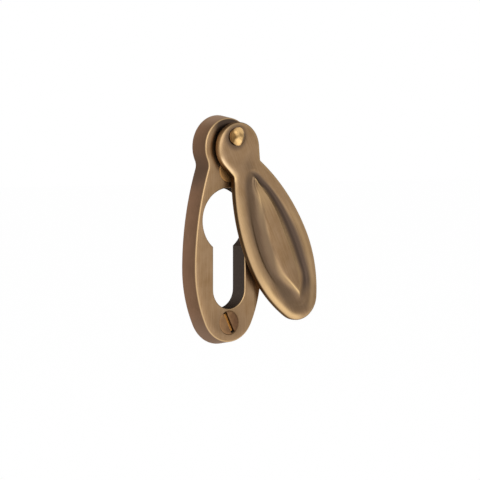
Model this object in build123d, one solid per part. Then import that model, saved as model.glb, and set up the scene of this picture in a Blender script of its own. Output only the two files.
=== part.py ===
from build123d import *
import os
from math import acos, atan2, cos, degrees, hypot, sin, sqrt

# Keyhole escutcheon with a swing cover, in millimetres and degrees.
# Each piece is drawn face on: x to the right, y up, z out of the door, with the keyhole's
# centre on the door at the origin. At the end every piece is stood upright.

# Keyhole, for a standard euro profile lock cylinder
keyhole_radius = 9.0
slot_width = 10.8
keyhole_drop = 24.45  # keyhole's centre down to the round end of the slot
keyhole_edge_bevel = 0.3

# Back plate, measured from the keyhole's centre
plate_thickness = 5.4
plate_wall = 3.25  # keyhole's round part to the widest level of the flanks
plate_foot = 9.95  # slot's end to the plate's bottom
plate_half_width = keyhole_radius + plate_wall
plate_widest_drop = 13.2
plate_bottom_drop = keyhole_drop + plate_foot
plate_side_radius = 36.0  # flanks below the widest level
plate_shoulder_radius = 85.0  # flanks above it
plate_lug_rise = 11.4  # keyhole's top to the lug's centre
plate_lug_height = keyhole_radius + plate_lug_rise
plate_lug_radius = 8.7
plate_neck_round = 3.0
plate_draft = 8.0
plate_edge_round = 1.2

# Pivot pin, with a domed head in front and a riveted tail sunk in the plate's back
pivot_rise = 2.9  # above the lug's centre
pivot_height = plate_lug_height + pivot_rise
pin_radius = 1.6
pin_head_radius = 2.6
pin_head_side = 0.7
pin_head_dome = 0.75
pin_tail_radius = 2.6
pin_tail_recess = 0.1

# Washer that holds the cover off the plate
washer_radius = 3.3
washer_edge_bevel = 0.2

# Fits
running_clearance = 0.06  # round the pin, and beside each moving face
fixed_clearance = 0.02  # between pieces that don't move on each other

# Swing cover, measured from the pivot with the cover hanging closed
swing_angle = 26.3  # how far the cover stands open
cover_gap = 0.9  # plate's face to the cover's back
cover_thickness = 2.2
cover_overlap = 1.9  # past the keyhole's round part, at the widest level
cover_tip_overlap = 8.85  # past the slot's end
cover_widest_level = 11.4  # below the keyhole's centre
cover_half_width = keyhole_radius + cover_overlap
cover_widest_drop = pivot_height + cover_widest_level
cover_tip_drop = pivot_height + keyhole_drop + cover_tip_overlap
cover_side_radius = 37.2  # flanks below the widest level
cover_shoulder_radius = 55.4  # flanks above it
cover_lug_drop = 3.5
cover_lug_radius = 7.1
cover_neck_drop = 10.0
cover_neck_round = 0.6
cover_edge_round = 0.95
cover_back_bevel = 0.25

# Relief on the cover: a channel parallel to the leaf's edge, round a long pointed boss
channel_inset = 5.1  # leaf's edge to the channel's deepest line
channel_depth = 0.95
channel_radius = 2.0  # hollow of the channel
rim_radius = 2.5  # soft shoulder from the rim into the channel
rim_lift = 0.02  # height at which the shoulder leaves the rim
boss_rise = 0.45  # boss's crest above the rim
boss_edge_rise = 0.02  # boss's crisp edge above the rim

# Countersunk slotted wood screws
upper_screw_wall = 1.75  # keyhole's top to the screw's head
lower_screw_wall = 0.75  # slot's end to the screw's head
screw_slot_angles = {"upper_screw": 48.0, "lower_screw": 26.7}
screw_head_radius = 3.15
screw_head_edge = 0.15
screw_head_recess = 0.1
screw_radius = 1.75
screw_thread_radius = 1.5  # middle of the thread's depth
screw_length = 12.7
screw_point_length = 3.0
screw_hole_clearance = 0.15
screw_slot_width = 1.1
screw_slot_depth = 0.9
screw_heights = {
    "upper_screw": keyhole_radius + upper_screw_wall + screw_head_radius,
    "lower_screw": -keyhole_drop - lower_screw_wall - screw_head_radius,
}


def flank_x(half_width, radius, rise):
    """Half width of a flank arc at a height above or below the widest level."""
    return sqrt(radius**2 - rise**2) - (radius - half_width)


def end_arc_drop(half_width, drop, side_radius):
    """Depth below the widest level of the centre of the arc that closes an egg's end."""
    spread = (side_radius - half_width) ** 2 - (side_radius - drop) ** 2
    return spread / (2 * (side_radius - drop))


def egg(half_width, widest_drop, bottom_drop, side_radius, shoulder_radius, top):
    """Egg outline of tangent arcs, cut off level at its top."""
    end_drop = end_arc_drop(half_width, bottom_drop - widest_drop, side_radius)
    turn = atan2(end_drop, side_radius - half_width)
    side_drop = side_radius * sin(turn)
    mid_drop = side_radius * sin(turn / 2)
    rise = top + widest_drop
    right = [
        (flank_x(half_width, shoulder_radius, rise), top),
        (flank_x(half_width, shoulder_radius, rise / 2), rise / 2 - widest_drop),
        (half_width, -widest_drop),
        (flank_x(half_width, side_radius, mid_drop), -widest_drop - mid_drop),
        (flank_x(half_width, side_radius, side_drop), -widest_drop - side_drop),
    ]
    left = [(-x, y) for x, y in reversed(right)]
    points = [*right, (0, -bottom_drop), *left]
    arcs = [ThreePointArc(*points[i : i + 3]) for i in range(0, len(points) - 2, 2)]
    return make_face([*arcs, Line(left[-1], right[0])])


def turned(outline):
    """Solid of revolution about z from edges that close round (radius, z) points."""
    return revolve(Plane.XZ * make_face(outline), Axis.Z)


def plate_outline():
    body = egg(
        plate_half_width,
        plate_widest_drop,
        plate_bottom_drop,
        plate_side_radius,
        plate_shoulder_radius,
        plate_lug_height,
    )
    lug = Pos(0, plate_lug_height) * Rot(0, 0, -90) * Circle(plate_lug_radius)
    outline = body + lug
    necks = outline.vertices().sort_by(Axis.Y)[-2:]
    return make_face(fillet(necks, plate_neck_round).edges())


def keyhole_outline():
    end_radius = slot_width / 2
    end_drop = keyhole_drop - end_radius
    slot = Pos(0, -end_drop / 2) * Rectangle(slot_width, end_drop)
    return Circle(keyhole_radius) + slot + Pos(0, -end_drop) * Circle(end_radius)


def screw_hole():
    """Countersunk hole, with the plate's face at z = 0."""
    shank = screw_radius + screw_hole_clearance
    rim = screw_head_radius + screw_head_recess + screw_head_edge + fixed_clearance
    back = -plate_thickness
    return turned(Polyline((0, 0), (rim, 0), (shank, shank - rim), (shank, back), (0, back), close=True))


def pin_hole():
    """Hole for the pin, countersunk at the back for its riveted tail."""
    shank = pin_radius + fixed_clearance
    tail = pin_tail_radius + fixed_clearance
    face = plate_thickness
    return turned(Polyline((0, 0), (tail, 0), (shank, tail - shank), (shank, face), (0, face), close=True))


def back_plate():
    plate = extrude(plate_outline(), plate_thickness)
    plate = draft(plate.faces().filter_by(Axis.Z, reverse=True), Plane.XY, plate_draft)
    face = plate.faces().sort_by(Axis.Z)[-1]
    plate = fillet(face.outer_wire().edges(), plate_edge_round)
    plate -= extrude(keyhole_outline(), plate_thickness)
    face = plate.faces().sort_by(Axis.Z)[-1]
    plate = chamfer(face.inner_wires()[0].edges(), keyhole_edge_bevel)
    for height in screw_heights.values():
        plate -= Pos(0, height, plate_thickness) * screw_hole()
    return plate - Pos(0, pivot_height) * pin_hole()


def pivot_pin():
    seat = plate_thickness + cover_gap + cover_thickness + running_clearance
    side_top = seat + pin_head_side
    crown = side_top + pin_head_dome
    dome_radius = (pin_head_radius**2 + pin_head_dome**2) / (2 * pin_head_dome)
    half_turn = atan2(pin_head_radius, dome_radius - pin_head_dome) / 2
    dome_mid = (dome_radius * sin(half_turn), crown - dome_radius * (1 - cos(half_turn)))
    stem = Polyline(
        (0, crown),
        (0, pin_tail_recess),
        (pin_tail_radius - pin_tail_recess, pin_tail_recess),
        (pin_radius, pin_tail_radius - pin_radius),
        (pin_radius, seat),
        (pin_head_radius, seat),
        (pin_head_radius, side_top),
    )
    dome = ThreePointArc((pin_head_radius, side_top), dome_mid, (0, crown))
    return Pos(0, pivot_height) * turned([stem, dome])


def spacer_washer():
    ring = Circle(washer_radius) - Circle(pin_radius + running_clearance)
    washer = extrude(ring, cover_gap - running_clearance)
    rims = washer.edges().filter_by(GeomType.CIRCLE).group_by(SortBy.RADIUS)[-1]
    washer = chamfer(rims, washer_edge_bevel)
    return Pos(0, pivot_height, plate_thickness) * washer


def cover_outline():
    leaf = egg(
        cover_half_width,
        cover_widest_drop,
        cover_tip_drop,
        cover_side_radius,
        cover_shoulder_radius,
        -cover_neck_drop,
    )
    neck_x = flank_x(cover_half_width, cover_shoulder_radius, cover_widest_drop - cover_neck_drop)
    neck_y = cover_lug_drop - cover_neck_drop
    aim = atan2(neck_y, neck_x) + acos(min(1, cover_lug_radius / hypot(neck_x, neck_y)))
    touch_x = cover_lug_radius * cos(aim)
    touch_y = cover_lug_radius * sin(aim)
    right = [(neck_x, neck_y), (touch_x, touch_y)]
    left = [(-touch_x, touch_y), (-neck_x, neck_y)]
    flanks = Polyline(*right, *left, close=True)
    lug = Circle(cover_lug_radius) + make_face(flanks)
    outline = leaf + Pos(0, -cover_lug_drop) * lug
    corners = outline.vertices()
    necks = [corners.sort_by_distance((x, -cover_neck_drop))[0] for x in (-neck_x, neck_x)]
    return fillet(necks, cover_neck_round)


# Half widths of the channel: out to the rim, and in to the boss's edge at a given height
channel_sweep = channel_radius + rim_radius
channel_fall = channel_depth + rim_lift
channel_outward = sqrt(2 * channel_sweep * channel_fall - channel_fall**2)


def channel_inward(height):
    return sqrt(channel_radius**2 - (channel_radius - channel_depth - height) ** 2)


def channel_section(edge_radius):
    """What the channel removes across a leaf edge of the given radius, with the rim at y = 0."""
    middle = edge_radius - channel_inset
    share = channel_radius / channel_sweep
    bottom = (middle, -channel_depth)
    turn = (middle + channel_outward * share, channel_fall * share - channel_depth)
    crest = (middle + channel_outward, rim_lift)
    boss_edge = (middle - channel_inward(boss_rise / 2), boss_rise / 2)
    above = 2 * boss_rise
    return make_face(
        [
            TangentArc(crest, turn, tangent=(-1, 0)),
            TangentArc(bottom, turn, tangent=(1, 0)),
            TangentArc(bottom, boss_edge, tangent=(-1, 0)),
            Polyline(boss_edge, (boss_edge[0], above), (crest[0], above), crest),
        ]
    )


def channel_run(centre_x, centre_y, edge_radius, start, sweep):
    """Stretch of the channel beside one arc of the leaf, from a start angle on the right."""
    radial = Vector(1, 0, 0).rotate(Axis.Z, start)
    along = Vector(0, -1, 0).rotate(Axis.Z, start)
    outer_half = Pos(edge_radius, 0) * Rectangle(2 * edge_radius, 2 * edge_radius)
    section = channel_section(edge_radius) & outer_half
    plane = Plane((centre_x, centre_y, cover_thickness), x_dir=radial, z_dir=along)
    return revolve(plane * section, Axis((centre_x, centre_y, 0), (0, 0, 1)), sweep)


def cover_channel():
    drop = cover_tip_drop - cover_widest_drop
    end_drop = end_arc_drop(cover_half_width, drop, cover_side_radius)
    turn = degrees(atan2(end_drop, cover_side_radius - cover_half_width))
    shoulder_x = cover_half_width - cover_shoulder_radius
    side_x = cover_half_width - cover_side_radius
    rim = cover_shoulder_radius - channel_inset + channel_outward
    meet = degrees(acos(-shoulder_x / rim))
    right = Pos(cover_shoulder_radius, 0) * Box(*[2 * cover_shoulder_radius] * 3)
    shoulder = channel_run(shoulder_x, -cover_widest_drop, cover_shoulder_radius, 0, meet) & right
    side = channel_run(side_x, -cover_widest_drop, cover_side_radius, 0, -turn)
    tip = channel_run(0, -cover_widest_drop - end_drop, drop - end_drop, -turn, turn - 90)
    half = shoulder + side + tip
    return half + mirror(half, about=Plane.YZ)


def lens(half_width, radius):
    """Pointed oval between two arcs."""
    return Pos(half_width - radius, 0) * Circle(radius) & Pos(radius - half_width, 0) * Circle(radius)


def cover_boss():
    """Low dome over the middle of the leaf, out to the channel's deepest line."""
    half_width = cover_half_width - channel_inset
    shoulder_radius = cover_shoulder_radius - channel_inset
    side_radius = cover_side_radius - channel_inset
    reach = cover_shoulder_radius
    above = Pos(0, reach) * Rectangle(2 * reach, 2 * reach)
    below = Pos(0, -reach) * Rectangle(2 * reach, 2 * reach)
    outline = lens(half_width, shoulder_radius) & above
    outline += lens(half_width, side_radius) & below
    block = extrude(outline, channel_depth + 2 * boss_rise)
    block = Pos(0, -cover_widest_drop, cover_thickness - channel_depth) * block
    edge_x = half_width - channel_inward(0)
    fall = boss_rise - boss_edge_rise
    across_radius = (edge_x**2 + fall**2) / (2 * fall)
    inner_shoulder = shoulder_radius - channel_inward(0)
    inner_side = side_radius - channel_inward(0)
    top_tip = sqrt(inner_shoulder**2 - (inner_shoulder - edge_x) ** 2)
    low_tip = sqrt(inner_side**2 - (inner_side - edge_x) ** 2)
    half_length = (top_tip + low_tip) / 2
    # The crown runs on to twice its length, where it has fallen four times as far.
    end_x = across_radius - 4 * fall
    end_y = 2 * half_length
    crown = ThreePointArc((end_x, -end_y), (across_radius, 0), (end_x, end_y))
    core = Polyline((end_x, end_y), (0, end_y), (0, -end_y), (end_x, -end_y))
    barrel = revolve(make_face([crown, core]), Axis.Y)
    middle_y = (top_tip - low_tip) / 2 - cover_widest_drop
    barrel = Pos(0, middle_y, cover_thickness + boss_rise - across_radius) * barrel
    return block & barrel


def swing_cover():
    cover = extrude(cover_outline(), cover_thickness)
    front = cover.faces().sort_by(Axis.Z)[-1]
    cover = fillet(front.edges(), cover_edge_round)
    back = cover.faces().sort_by(Axis.Z)[0]
    cover = chamfer(back.edges(), cover_back_bevel)
    cover = cover + cover_boss() - cover_channel()
    cover -= extrude(Circle(pin_radius + running_clearance), cover_thickness)
    return Pos(0, pivot_height, plate_thickness + cover_gap) * Rot(0, 0, swing_angle) * cover


def wood_screw(slot_angle):
    """Screw with the plate's face at z = 0."""
    top = -screw_head_recess
    cone_top = top - screw_head_edge
    cone_end = cone_top - (screw_head_radius - screw_radius)
    point = top - screw_length
    screw = turned(
        Polyline(
            (0, top),
            (screw_head_radius, top),
            (screw_head_radius, cone_top),
            (screw_radius, cone_end),
            (screw_radius, -plate_thickness),
            (screw_thread_radius, -plate_thickness),
            (screw_thread_radius, point + screw_point_length),
            (0, point),
            close=True,
        )
    )
    slot = Box(screw_slot_width, 2 * screw_head_radius, 2 * screw_slot_depth)
    return screw - Pos(0, 0, top) * Rot(0, 0, slot_angle) * slot


pieces = {
    "back_plate": back_plate(),
    "pivot_pin": pivot_pin(),
    "spacer_washer": spacer_washer(),
    "swing_cover": swing_cover(),
}
for name, height in screw_heights.items():
    pieces[name] = Pos(0, height, plate_thickness) * wood_screw(screw_slot_angles[name])

os.makedirs("parts", exist_ok=True)
for name, piece in pieces.items():
    export_step(Plane.XZ * piece, f"parts/{name}.step")
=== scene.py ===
import bpy
import bmesh
import math
from mathutils import Matrix, Vector


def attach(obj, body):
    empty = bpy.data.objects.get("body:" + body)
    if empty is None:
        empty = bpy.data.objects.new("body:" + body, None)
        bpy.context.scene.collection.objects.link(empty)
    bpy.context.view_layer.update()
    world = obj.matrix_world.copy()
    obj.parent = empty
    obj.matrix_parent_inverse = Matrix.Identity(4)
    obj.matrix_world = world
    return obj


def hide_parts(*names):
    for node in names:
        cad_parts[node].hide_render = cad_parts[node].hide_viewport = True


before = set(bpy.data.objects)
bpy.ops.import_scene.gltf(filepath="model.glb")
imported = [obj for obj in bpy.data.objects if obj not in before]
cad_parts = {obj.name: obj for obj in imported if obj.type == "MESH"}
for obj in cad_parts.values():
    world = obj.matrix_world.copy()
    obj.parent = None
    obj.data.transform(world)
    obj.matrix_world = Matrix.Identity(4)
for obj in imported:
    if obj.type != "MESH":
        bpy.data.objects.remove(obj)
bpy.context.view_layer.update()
print("frame loaded:", ", ".join(sorted(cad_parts)))

# Every piece is drawn face on in millimetres, x right, y up, z out of the door, and hung up when it is done
mmPerMetre = 1000
weld = {"seam": 0.001, "skin": 0.0005, "rows": 0.002, "cut": 0.0001}  # mm, nearer points become one
onLine = 0.001  # mm, a point this near lies on a line


def newPoint(name, x, y, z=0.0):  # one vertex to draw from, in edit mode
    bpy.ops.object.select_all(action="DESELECT")
    bpy.ops.mesh.primitive_plane_add(size=1)
    piece = bpy.context.object
    piece.name = name
    piece.data.name = name
    bpy.ops.object.mode_set(mode="EDIT")
    bpy.ops.mesh.select_mode(type="VERT")
    bpy.ops.mesh.merge(type="CENTER")
    bpy.ops.transform.translate(value=(x, y, z))
    return piece


def arcOn(centre, sweep, steps):  # the line goes on round a centre, degrees anticlockwise
    bpy.ops.mesh.spin(steps=steps, angle=math.radians(-sweep), center=(*centre, 0), axis=(0, 0, 1))


def lineOn(x, y, z=0.0):  # the line goes on straight by this much
    bpy.ops.mesh.extrude_region_move(TRANSFORM_OT_translate={"value": (x, y, z)})


def pick(kind, test):  # select vertices, edges or faces by their place
    bpy.ops.mesh.select_mode(type={"verts": "VERT", "edges": "EDGE", "faces": "FACE"}[kind])
    bpy.ops.mesh.select_all(action="DESELECT")
    mesh = bmesh.from_edit_mesh(bpy.context.edit_object.data)
    for part in getattr(mesh, kind):
        if test(part):
            part.select_set(True)
    mesh.select_flush_mode()
    bmesh.update_edit_mesh(bpy.context.edit_object.data)


def bothHalves():  # the right half again at the left, seam closed
    bpy.ops.mesh.select_all(action="SELECT")
    bpy.ops.mesh.duplicate()
    bpy.ops.transform.resize(value=(-1, 1, 1), center_override=(0, 0, 0))
    bpy.ops.mesh.select_all(action="SELECT")
    bpy.ops.mesh.remove_doubles(threshold=weld["seam"])


def fillOutline():  # one face that looks forward
    bpy.ops.mesh.select_all(action="SELECT")
    bpy.ops.mesh.edge_face_add()
    mesh = bmesh.from_edit_mesh(bpy.context.edit_object.data)
    if mesh.faces[:][0].normal.z < 0:
        bpy.ops.mesh.flip_normals()
    bpy.ops.mesh.select_mode(type="FACE")
    bpy.ops.mesh.select_all(action="SELECT")


def rollOver(turns):  # the selected face's edge goes round in arcs: radius, tilt from, tilt to, steps
    for radius, start, stop, steps in turns:
        for i in range(steps):
            a = math.radians(start + (stop - start) * i / steps)
            b = math.radians(start + (stop - start) * (i + 1) / steps)
            bpy.ops.mesh.inset(thickness=radius * (math.sin(a) - math.sin(b)),
                               depth=radius * (math.cos(b) - math.cos(a)), use_even_offset=True)


def rollRise(turns):  # how much higher the face ends up
    return sum(t[0] * (math.cos(math.radians(t[2])) - math.cos(math.radians(t[1]))) for t in turns)


def outward():  # leave edit mode with the faces pointing out
    bpy.ops.mesh.select_all(action="SELECT")
    bpy.ops.mesh.remove_doubles(threshold=weld["skin"])
    bpy.ops.mesh.normals_make_consistent(inside=False)
    bpy.ops.object.mode_set(mode="OBJECT")


def lathe(name, profile, steps):  # a turned piece from half its profile: radius, height
    piece = newPoint(name, 0, 0, profile[0][1])
    for a, b in zip(profile, profile[1:]):
        lineOn(b[0] - a[0], 0, b[1] - a[1])
    bpy.ops.mesh.select_all(action="SELECT")
    arcOn((0, 0), 360, steps)
    outward()
    return piece


def cutAway(piece, cutter):
    bpy.ops.object.select_all(action="DESELECT")
    piece.select_set(True)
    bpy.context.view_layer.objects.active = piece
    cut = piece.modifiers.new("cut", "BOOLEAN")
    cut.operation = "DIFFERENCE"
    cut.solver = "EXACT"
    cut.object = cutter
    bpy.ops.object.modifier_apply(modifier=cut.name)
    bpy.data.objects.remove(cutter)
    bpy.ops.object.select_all(action="DESELECT")


def drill(piece, y, steps, low, high):  # round hole on the middle line, each end as radius, height
    bpy.ops.object.select_all(action="DESELECT")
    bpy.ops.mesh.primitive_cone_add(vertices=steps, radius1=low[0], radius2=high[0], depth=high[1] - low[1],
                                    location=(0, y, (low[1] + high[1]) / 2))
    cutAway(piece, bpy.context.object)


def hangUp(piece, body, node, angle):  # shade, stand upright, scale to metres and tie to the model
    bpy.ops.object.select_all(action="DESELECT")
    piece.select_set(True)
    bpy.context.view_layer.objects.active = piece
    bpy.ops.object.transform_apply(location=True, rotation=True, scale=True)
    piece.rotation_euler = (math.pi / 2, 0, 0)
    piece.scale = (1 / mmPerMetre, 1 / mmPerMetre, 1 / mmPerMetre)
    bpy.ops.object.transform_apply(location=True, rotation=True, scale=True)
    bpy.ops.object.shade_smooth_by_angle(angle=math.radians(angle))
    even = piece.modifiers.new("even", "WEIGHTED_NORMAL")
    even.keep_sharp = True
    bpy.ops.object.modifier_apply(modifier=even.name)
    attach(piece, body)
    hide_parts(node)
    print(piece.name, "done,", len(piece.data.polygons), "faces")


# Colours and nodes


def lin(hexText):  # sRGB hex to a linear colour
    parts = [int(hexText[i:i + 2], 16) / 255 for i in (1, 3, 5)]
    return [p / 12.92 if p <= 0.04045 else ((p + 0.055) / 1.055) ** 2.4 for p in parts] + [1.0]


def addNode(mat, kind, settings=None, links=None):  # links go from a socket to (node, output)
    node = mat.node_tree.nodes.new(kind)
    for key, value in (settings or {}).items():
        if isinstance(key, str) and key not in node.inputs.keys():
            setattr(node, key, value)  # an option of the node
        else:
            node.inputs[key].default_value = value
    for key, (source, output) in (links or {}).items():
        mat.node_tree.links.new(source.outputs[output], node.inputs[key])
    return node


def newMaterial(name):
    mat = bpy.data.materials.new(name)
    mat.use_nodes = True
    mat.node_tree.nodes.clear()
    return mat


# Antique brass: sand cast, chemically browned all over, then the faces brushed back with a satin wheel.
# Walls and hollows stay dark brown, faces show a soft tan with faint brush lines along the piece,
# and edges are rubbed pale gold. Light and shade are painted on as well: painted shade under and round the
# cover's lug, on its walls, by the plate's neck and low on the boss, painted highlights on the cover's boss,
# left rim and neck, and painted light and reflection on some walls.
antiqueBrass = {
    "face": ("#9b7f61", "#886b4b"),  # plain, warm
    # the cover's walls are darker still: painted shade of the narrow gap behind the leaf
    "wall": {"plate": ("#6d533f", "#856650"), "cover": ("#45321f", "#5f4429")},  # at the front, at the back
    "wallFrom": {"plate": (-0.0051, 0.0), "cover": (-0.0078, -0.0063)},
    "wallTone": (-0.15, 0.6),
    "wallCloud": 0.5,
    "back": ("#84684d", "#745a43"),  # ground flat, then browned unevenly
    "backFrom": (0.2, 0.6),
    # patina in the cover's channel, also used as painted shade low on the boss and at its tip
    "hollow": "#4e4036",
    # pale where the cover is rubbed, and painted highlights
    "worn": "#cfae7e",
    "edge": "#aa8e69",
    "edgeFrom": (0.975, 0.86),  # how far the front has turned away
    "brushFrom": {"plate": (0.3, 0.65), "cover": (0.55, 0.92)},  # how far round the edge the wheel reaches
    "brushTurn": {"plate": 0.0, "cover": 26.3},
    "brushWidth": 0.25,  # mm, real brush lines are ten times finer and would not show
    "brushLength": 7.0,
    "brushBump": 0.25,
    "brushDepth": 0.00003,
    "cloudSize": 5.0,
    "cloudShare": 0.5,  # the rest is brush lines
    "toneFrom": (0.35, 0.65),
    "faceRough": 0.32,
    "wallRough": 0.48,
    "sheen": "#ded4ca",
    # darker and paler spots, patina and painted shade, highlight and reflection: where, middle, full to,
    # gone at, strength, colour
    "spots": {
        "plate": (
            # patina and painted shade on the plate's lug, under the cover's lug
            ("face", (0.0015, -0.0054, 0.0243), 0.0052, 0.0078, 0.9, "#382f2b"),
            # darker on the face round the foot
            ("face", (0.0, -0.0054, -0.0315), 0.003, 0.011, 0.5, "#6e5843"),
            # painted shade on the left wall in the hollow of the neck
            ("wall", (-0.0088, -0.001, 0.0138), 0.002, 0.007, 0.5, "#4a3f39"),
            # greyer on the wall round the foot
            ("wall", (-0.003, -0.001, -0.034), 0.004, 0.013, 0.5, "#7b685b"),
            # painted light, pale on the wall along the top of the lug
            ("wall", (0.0, -0.002, 0.0291), 0.003, 0.008, 0.5, "#a88f79"),
            # painted shade on the left wall of the lug, down towards the neck
            ("wall", (-0.0088, -0.002, 0.0172), 0.003, 0.0085, 0.35, "#4a3828"),
        ),
        "cover": (
            # patina and painted shade round the pin's head
            ("face", (0.0, -0.0085, 0.0233), 0.0028, 0.0045, 0.75, "#5b4a3e"),
            # painted reflection of the plate, pale gold on the lug's left wall
            ("wall", (-0.0055, -0.0072, 0.0195), 0.003, 0.0075, 0.7, "#a38058"),
            # painted highlight on the left edge of the neck
            ("edge", (-0.0028, -0.0083, 0.0148), 0.0018, 0.0042, 0.95, "#ffe0b4"),
        ),
    },
}


def addSpots(mat, at, colour, kind, where):  # colour is (node, output)
    for part, middle, near, far, much, hue in antiqueBrass["spots"][kind]:
        if part == where:
            reach = addNode(mat, "ShaderNodeVectorMath", {"operation": "DISTANCE", 1: middle},
                            {0: (at, "Object")})
            shade = addNode(mat, "ShaderNodeMapRange",
                            {"interpolation_type": "SMOOTHSTEP", "From Min": near, "From Max": far,
                             "To Min": much, "To Max": 0.0}, {"Value": (reach, "Value")})
            spot = addNode(mat, "ShaderNodeMix", {"data_type": "RGBA", 7: lin(hue)},
                           {0: (shade, "Result"), 6: colour})
            colour = (spot, 2)
    return colour


def makeAntiqueBrass(name, kind):
    b = antiqueBrass
    mat = newMaterial(name)
    at = addNode(mat, "ShaderNodeTexCoord")
    place = addNode(mat, "ShaderNodeSeparateXYZ", None, {"Vector": (at, "Object")})
    facing = addNode(mat, "ShaderNodeSeparateXYZ", None, {"Vector": (at, "Normal")})
    front = addNode(mat, "ShaderNodeMath", {"operation": "MULTIPLY", 1: -1.0}, {0: (facing, "Y")})

    # brush lines over slow clouds
    cloud = addNode(mat, "ShaderNodeTexNoise",
                    {"Scale": mmPerMetre / b["cloudSize"], "Detail": 3.0, "Roughness": 0.55},
                    {"Vector": (at, "Object")})
    lay = addNode(mat, "ShaderNodeMapping", {"Rotation": (0, math.radians(b["brushTurn"][kind]), 0)},
                  {"Vector": (at, "Object")})
    across, along = mmPerMetre / b["brushWidth"], mmPerMetre / b["brushLength"]
    stretch = addNode(mat, "ShaderNodeVectorMath", {"operation": "MULTIPLY", 1: (across, across, along)},
                      {0: (lay, "Vector")})
    lines = addNode(mat, "ShaderNodeTexNoise", {"Scale": 1.0, "Detail": 2.0, "Roughness": 0.6},
                    {"Vector": (stretch, "Vector")})
    clouds = addNode(mat, "ShaderNodeMath", {"operation": "MULTIPLY", 1: b["cloudShare"]},
                     {0: (cloud, "Fac")})
    blend = addNode(mat, "ShaderNodeMath", {"operation": "MULTIPLY_ADD", 1: 1 - b["cloudShare"]},
                    {0: (lines, "Fac"), 2: (clouds, "Value")})
    low, high = b["toneFrom"]
    tone = addNode(mat, "ShaderNodeMapRange", {"From Min": low, "From Max": high},
                   {"Value": (blend, "Value")})

    # front face, paler along its edge, with a painted highlight on the cover's neck edge
    plain, warm = b["face"]
    face = addNode(mat, "ShaderNodeMix", {"data_type": "RGBA", 6: lin(plain), 7: lin(warm)},
                   {0: (tone, "Result")})
    rim = addNode(mat, "ShaderNodeRGB")
    rim.outputs["Color"].default_value = lin(b["edge"])
    low, high = b["brushFrom"][kind]
    brushed = addNode(mat, "ShaderNodeMapRange", {"From Min": low, "From Max": high},
                      {"Value": (front, "Value")})
    low, high = b["edgeFrom"]
    turned = addNode(mat, "ShaderNodeMapRange", {"From Min": low, "From Max": high},
                     {"Value": (front, "Value")})
    edge = addNode(mat, "ShaderNodeMath", {"operation": "MULTIPLY"},
                   {0: (brushed, "Result"), 1: (turned, "Result")})
    faceAndEdge = addNode(mat, "ShaderNodeMix", {"data_type": "RGBA"},
                       {0: (edge, "Value"), 6: addSpots(mat, at, (face, 2), kind, "face"),
                        7: addSpots(mat, at, (rim, "Color"), kind, "edge")})

    # walls, then the back
    low, high = b["wallFrom"][kind]
    least, most = b["wallTone"]
    depth = addNode(mat, "ShaderNodeMapRange",
                    {"From Min": low, "From Max": high, "To Min": least, "To Max": most},
                    {"Value": (place, "Y")})
    wallTone = addNode(mat, "ShaderNodeMath",
                       {"operation": "MULTIPLY_ADD", "use_clamp": True, 1: b["wallCloud"]},
                       {0: (tone, "Result"), 2: (depth, "Result")})
    fore, aft = b["wall"][kind]
    wall = addNode(mat, "ShaderNodeMix", {"data_type": "RGBA", 6: lin(fore), 7: lin(aft)},
                   {0: (wallTone, "Value")})
    skin = addNode(mat, "ShaderNodeMix", {"data_type": "RGBA"},
                   {0: (brushed, "Result"), 6: addSpots(mat, at, (wall, 2), kind, "wall"),
                    7: (faceAndEdge, 2)})
    low, high = b["backFrom"]
    away = addNode(mat, "ShaderNodeMapRange", {"From Min": low, "From Max": high}, {"Value": (facing, "Y")})
    plain, dark = b["back"]
    back = addNode(mat, "ShaderNodeMix", {"data_type": "RGBA", 6: lin(plain), 7: lin(dark)},
                   {0: (tone, "Result")})
    colour = addNode(mat, "ShaderNodeMix", {"data_type": "RGBA"},
                     {0: (away, "Result"), 6: (skin, 2), 7: (back, 2)})
    if kind == "cover":  # patina and painted shade, rubbing and painted highlights, painted on the mesh
        for paint in ("hollow", "worn"):
            coat = addNode(mat, "ShaderNodeAttribute", {"attribute_name": paint})
            colour = addNode(mat, "ShaderNodeMix", {"data_type": "RGBA", 7: lin(b[paint])},
                             {0: (coat, "Fac"), 6: (colour, 2)})

    rough = addNode(mat, "ShaderNodeMapRange", {"To Min": b["wallRough"], "To Max": b["faceRough"]},
                    {"Value": (brushed, "Result")})
    bump = addNode(mat, "ShaderNodeBump", {"Strength": b["brushBump"], "Distance": b["brushDepth"]},
                   {"Height": (lines, "Fac")})
    shader = addNode(mat, "ShaderNodeBsdfPrincipled", {"Metallic": 1.0, "Specular Tint": lin(b["sheen"])},
                     {"Base Color": (colour, 2), "Roughness": (rough, "Result"),
                      "Normal": (bump, "Normal")})
    addNode(mat, "ShaderNodeOutputMaterial", None, {"Surface": (shader, "BSDF")})
    return mat


# Browned brass where no brush comes: dull charcoal in the keyhole; down the screw holes browned and, deeper
# in, painted shadow that is nearly black
brownedBrass = {
    "keyhole": {"dark": "#453d39", "light": "#544b44", "sheen": "#504844"},
    "sink": {"dark": "#271f19", "light": "#352a22", "sheen": "#7d6a55",
             "rim": "#6e563c", "rimFrom": (-0.005, -0.0053)},
    "rough": 0.5,
    "grain": 0.6,  # mm, as cast
    "bump": 0.3,
    "bumpDepth": 0.00004,
}


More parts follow.
